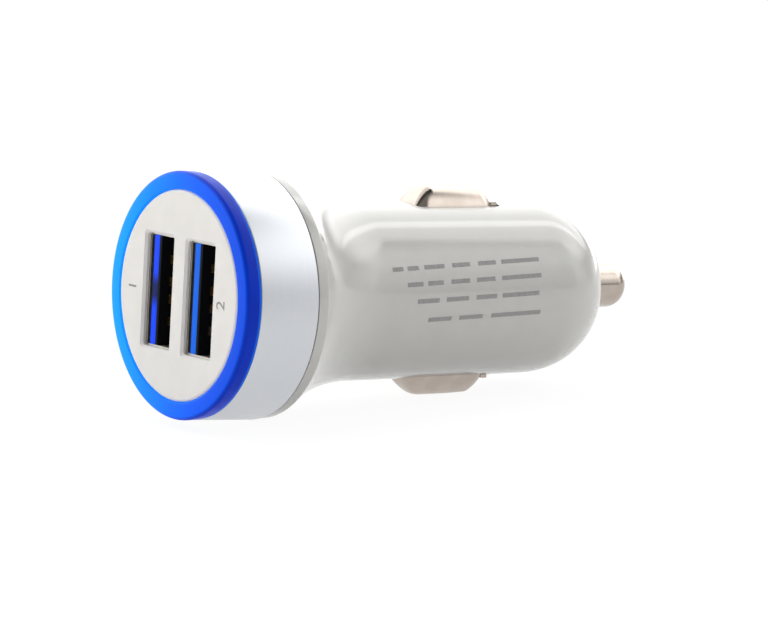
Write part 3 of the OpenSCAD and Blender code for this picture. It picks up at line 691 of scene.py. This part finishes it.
def sideContact(name, node, body, mirrored):
    bm = joined(contactParts(name))
    if mirrored:
        bmesh.ops.scale(bm, verts=bm.verts, vec=(1, 1, -1))
        bmesh.ops.reverse_faces(bm, faces=bm.faces)
    piece = finished(inMillimetres(bm), name, finishes["nickel"], body, capSize["sharp"])
    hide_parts(node)


tipSize = {
    "stub": 29.25, "stubR": 1.9, "flange": 31.75, "flangeR": 3.9, "seat": 32.75, "radius": 2.75,
    "dome": 38.8, "reach": 2.4, "power": 2.3, "stubRound": 0.2, "flangeRound": 0.1, "domeSteps": 24,
    "steps": 96, "sharp": 40}


def contactTip():
    s = tipSize
    outline = [
        (s["stub"], 0), (s["stub"], s["stubR"], s["stubRound"]), (s["flange"], s["stubR"]),
        (s["flange"], s["flangeR"], s["flangeRound"]), (s["seat"], s["flangeR"], s["flangeRound"]),
        (s["seat"], s["radius"])]
    outline += dome(s["dome"], s["radius"], s["reach"], s["power"], 90, s["domeSteps"])
    piece = finished(turned(outline, s["steps"]), "nose_tip", finishes["nickel"], "tip", s["sharp"])
    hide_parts("contact_tip")


# The share of its length that the coil keeps when the tip is pressed home, and how near its points merge
coilSize = {"keep": 0.62, "merge": 1e-7}


def tipSpring():
    # The CAD coil as it stands; the real coil shortens towards its cup as the tip is pressed, which this
    # piece does not
    node = frame["nodes"]["tip_spring"]
    bm = bmesh.new()
    bm.from_mesh(node.data)
    bmesh.ops.remove_doubles(bm, verts=bm.verts, dist=coilSize["merge"])
    piece = finished(inMillimetres(bm), "tip_coil", finishes["spring_steel"], "housing")
    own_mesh(piece)
    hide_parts("tip_spring")


# Printed marks: a plain numeral at each port, and rows of plain bars on the barrel

markSize = {"numeral": 2.3, "left": (9.2, 0), "right": (-8.8, 0), "lift": 0.015}
barRows = [
    # Each row's turn round the barrel, its lean along it, and where each bar starts and how long it is
    {"angle": 20.6, "lean": 0.24,
     "bars": [(0.1, 1.5), (2.2, 1.6), (4.6, 2.9), (8.6, 2.6), (12.4, 2.6), (15.8, 5.6)]},
    {"angle": 10.3, "lean": 0.22, "bars": [(2.0, 2.2), (4.9, 2.2), (8.2, 2.7), (11.9, 2.7), (15.6, 5.8)]},
    {"angle": -0.6, "lean": 0.2, "bars": [(3.4, 3.1), (7.5, 3.2), (11.8, 3.0), (15.6, 5.4)]},
    {"angle": -12.9, "lean": 0.18, "bars": [(5.2, 3.3), (9.6, 3.4), (14.2, 7.2)]}]
barSize = {"height": 0.52, "lift": 0.012, "steps": (8, 3), "sharp": 60}


def numeral(name, text, spot):
    curve = bpy.data.curves.new(name, "FONT")
    curve.body, curve.size, curve.align_x, curve.align_y = text, markSize["numeral"] * mm, "CENTER", "CENTER"
    curve.extrude = markSize["lift"] * mm
    maker = bpy.data.objects.new(name + "_maker", curve)
    bpy.context.scene.collection.objects.link(maker)
    bpy.context.view_layer.update()
    mesh = bpy.data.meshes.new_from_object(maker.evaluated_get(bpy.context.evaluated_depsgraph_get()))
    bpy.data.objects.remove(maker)
    turn = Matrix(((0, 0, -1), (0, 1, 0), (1, 0, 0))).to_4x4()
    mesh.transform(Matrix.Translation(Vector((faceSize["front"], *spot)) * mm) @ turn)
    mesh.name = name
    mesh.materials.clear()
    mesh.materials.append(finishes["print_grey"])
    piece = bpy.data.objects.new(name, mesh)
    bpy.context.scene.collection.objects.link(piece)
    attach(piece, "housing")


def ratingBars():
    bm = bmesh.new()
    s = shellSize
    radius = s["barrel"] + barSize["lift"]
    longSteps, highSteps = barSize["steps"]
    for row in barRows:
        for start, length in row["bars"]:
            made = bmesh.ops.create_grid(bm, x_segments=longSteps, y_segments=highSteps, size=0.5)
            for v in made["verts"]:
                x = start + (v.co.x + 0.5) * length
                angle = math.radians(row["angle"] + row["lean"] * x) + v.co.y * barSize["height"] / radius
                draft = s["draft"] * max(x - s["grip"], 0) / (s["noseStart"] - s["grip"])
                v.co = (x, -(radius - draft) * math.cos(angle), (radius - draft) * math.sin(angle))
    bmesh.ops.recalc_face_normals(bm, faces=bm.faces)
    for f in bm.faces:
        if f.normal.y > 0:
            f.normal_flip()
    bmesh.ops.solidify(bm, geom=bm.faces[:], thickness=barSize["lift"])
    bmesh.ops.recalc_face_normals(bm, faces=bm.faces)
    piece = finished(bm, "rating_bars", finishes["print_grey"], "housing", barSize["sharp"])


# Finishes, by the record's slots

def makeFinishes():
    steel = (0.3, 3, 3)
    return {
        "shell_white": plastic(
            "shell_white", tone(182, 181, 177), tone(180, 179, 175), 0.09, 0.5, 0.02,
            **{"Coat Weight": 0.4, "Coat Roughness": 0.04, "IOR": 1.5}),
        "face_white": plastic(
            "face_white", tone(226, 223, 218), tone(222, 219, 214), 0.42, 6, 0.12, IOR=1.48),
        "band_silver": bandSilver(),
        "ring_blue": ringBlue(),
        "tongue_blue": tongueBlue(),
        "port_steel": metal("port_steel", tone(222, 218, 208), tone(206, 202, 192), 0.5, steel),
        "pin_gold": metal("pin_gold", tone(222, 180, 96), tone(196, 150, 70), 0.28, steel),
        "tin": metal("tin", tone(200, 200, 202), tone(170, 170, 174), 0.35, steel),
        "spring_steel": metal("spring_steel", tone(180, 180, 184), tone(150, 150, 156), 0.25, steel),
        "nickel": metal("nickel", tone(180, 170, 161), tone(172, 162, 152), 0.14, (0.2, 1, 1), 0.02),
        "board_green": boardGreen(),
        "copper": windingCopper(),
        "can_sleeve": canSleeve(),
        "chip_black": plastic("chip_black", tone(36, 36, 38), tone(26, 26, 28), 0.5, 5, 0.3),
        "ferrite": plastic("ferrite", tone(66, 66, 70), tone(50, 50, 54), 0.6, 4, 0.4),
        "ceramic": plastic("ceramic", tone(176, 146, 112), tone(160, 130, 98), 0.4, 5, 0.2),
        "lamp": plastic("lamp", tone(240, 238, 214), tone(230, 226, 196), 0.3, 3, 0.1),
        "print_grey": printGrey()}


def dressNodes():
    # The CAD pieces that stay get their finish in place of the plain colour
    slots = {row["node"]: row["material_slot"] for row in frame["record"]["subparts"]}
    for name, node in frame["nodes"].items():
        for slot in node.material_slots:
            slot.material = finishes[slots[name]]


# Stage: the table under the head's rim and the lower contact, soft lights and the camera

stageSize = {
    "rim": (-13.09, -14.26), "heel": (18.9, -12.05), "size": 3000, "tone": (0.88, 0.88, 0.88, 1),
    "white": 1.03, "share": 0.9}
cameraSize = {
    "azimuth": -36.362, "elevation": 6.892, "roll": 3.215, "distance": 478.72, "aim": 6.153, "rise": -3.181,
    "lens": 193.44, "width": 36, "clip": (0.01, 10)}
skyWhite = 1.1  # what the camera sees behind the plug
skyPanels = {
    # Soft panels of a light tent: a level, where each axis rises (None where it starts full) and falls again
    "all": {"level": 0.04},
    "topEdge": {"level": 2.0, "slant": (0.06, 0.13, 0.24, 0.34), "height": (0.3, 0.45)},
    "overBack": {"level": 3.1, "slant": (0.24, 0.4, 1.6, 2.2), "height": (0.25, 0.4)},
    "overRight": {
        "level": 3.4, "slant": (-0.9, -0.3, 0.24, 0.4), "height": (0.3, 0.6), "right": (0.42, 0.52)},
    "frontHigh": {
        "level": 2.5, "slant": (None, None, -0.75, -0.1), "height": (0.32, 0.52),
        "left": (None, None, -0.35, -0.05)},
    "frontMid": {
        "level": 1.5, "near": (0.2, 0.5), "height": (0.05, 0.3, 0.32, 0.52),
        "left": (None, None, -0.35, -0.05)},
    "frontLeft": {"level": 0.35, "near": (0, 0.3), "left": (-0.35, -0.05), "height": (-0.1, 0.1)},
    "frontLow": {
        "level": 0.5, "near": (0.2, 0.5), "height": (None, None, 0.05, 0.3), "left": (None, None, 0.3, 0.6)},
    "backLow": {
        "level": 2.4, "near": (None, None, -0.4, -0.1), "slant": (1.6, 2.2), "height": (-0.15, 0.05)},
    "rightBack": {"level": 1.9, "right": (0.92, 1.08), "height": (-0.15, 0, 0.1, 0.36)},
    "rightEdge": {
        "level": 0.7, "right": (0.34, 0.43, 0.5, 0.62), "height": (-0.2, 0, 0.45, 0.6),
        "slant": (None, None, 0.24, 0.29)},
    "rightFar": {
        "level": 0.5, "right": (0.55, 0.7), "height": (-0.2, 0, 0.4, 0.55),
        "slant": (None, None, 0.24, 0.29)}}
# How much of y the right axis takes in, and the least height that a slant divides by
skyAxes = {"rightShare": 0.6, "lowest": 0.05}


def makeFloor():
    s = stageSize
    rim, heel = Vector((s["rim"][0], 0, s["rim"][1])), Vector((s["heel"][0], 0, s["heel"][1]))
    run = (heel - rim).normalized()
    bm = bmesh.new()
    bmesh.ops.create_grid(bm, x_segments=1, y_segments=1, size=s["size"] / 2)
    up = Vector((-run.z, 0, run.x))
    turn = Matrix((run, (0, 1, 0), up)).transposed()
    bmesh.ops.rotate(bm, verts=bm.verts, cent=(0, 0, 0), matrix=turn)
    bmesh.ops.translate(bm, verts=bm.verts, vec=rim)
    material = bpy.data.materials.new("floor")
    wiring = Wiring(material, "ShaderNodeOutputMaterial")
    pale = wiring.node("ShaderNodeBsdfDiffuse", {}, {"Color": s["tone"]})
    white = wiring.node("ShaderNodeEmission", {}, {"Strength": s["white"]})
    share = wiring.seenShare(s["share"])
    wiring.shown(wiring.node("ShaderNodeMixShader", {}, {0: share, 1: pale, 2: white}))
    finished(bm, "floor", material, None)


def makeSky():
    world = bpy.data.worlds.new("sky")
    bpy.context.scene.world = world
    wiring = Wiring(world, "ShaderNodeOutputWorld")
    spot = wiring.node("ShaderNodeTexCoord", {}, {}, "Generated")
    split = wiring.node("ShaderNodeSeparateXYZ", {}, {"Vector": spot})
    x, y, z = (Value(wiring, split.socket.node.outputs[i]) for i in range(3))
    axes = {
        "height": z, "near": 0 - y, "left": 0 - x, "right": x + y * skyAxes["rightShare"],
        "slant": y / z.maths("MAXIMUM", skyAxes["lowest"])}
    light = 0
    for panel in skyPanels.values():
        share = panel["level"]
        for name, steps in panel.items():
            if name == "level":
                continue
            if steps[0] is not None:
                share = share * axes[name].between(*steps[:2])
            if len(steps) > 2:
                share = share * (1 - axes[name].between(*steps[2:]))
        light = light + share
    seen = wiring.node("ShaderNodeLightPath", {}, {}, "Is Camera Ray")
    level = light * (1 - seen) + seen * skyWhite
    wiring.shown(wiring.node("ShaderNodeBackground", {}, {"Strength": level}))


def makeCamera():
    s = cameraSize
    turn, lift = math.radians(s["azimuth"]), math.radians(s["elevation"])
    back = Vector((math.sin(turn) * math.cos(lift), -math.cos(turn) * math.cos(lift), math.sin(lift)))
    right = Vector((math.cos(turn), math.sin(turn), 0))
    roll = Matrix.Rotation(math.radians(s["roll"]), 3, back)
    right, up = roll @ right, roll @ back.cross(right)
    lens = bpy.data.cameras.new("camera")
    lens.sensor_fit, lens.sensor_width, lens.lens = "HORIZONTAL", s["width"], s["lens"]
    lens.clip_start, lens.clip_end = s["clip"]
    holder = bpy.data.objects.new("camera", lens)
    place = Vector((s["aim"], 0, 0)) + back * s["distance"] + up * s["rise"]
    holder.matrix_world = Matrix.Translation(place * mm) @ Matrix((right, up, back)).transposed().to_4x4()
    bpy.context.scene.collection.objects.link(holder)
    bpy.context.scene.camera = holder


bpy.context.scene.view_settings.view_transform = "Standard"
makeCamera()
finishes = makeFinishes()
dressNodes()
print("finishes ready")
mainShell()
trimBand()
glowRing()
facePlate()
portTongue("port_tongue_1", "port_insulator_1", 1)
portTongue("port_tongue_2", "port_insulator_2", -1)
print("head made")
sideContact("upper_contact_cap", "side_contact_upper", "upper_contact", False)
sideContact("lower_contact_cap", "side_contact_lower", "lower_contact", True)
contactTip()
tipSpring()
print("contacts made")
numeral("port_numeral_1", "1", markSize["left"])
numeral("port_numeral_2", "2", markSize["right"])
ratingBars()
makeFloor()
makeSky()
print("stage set")
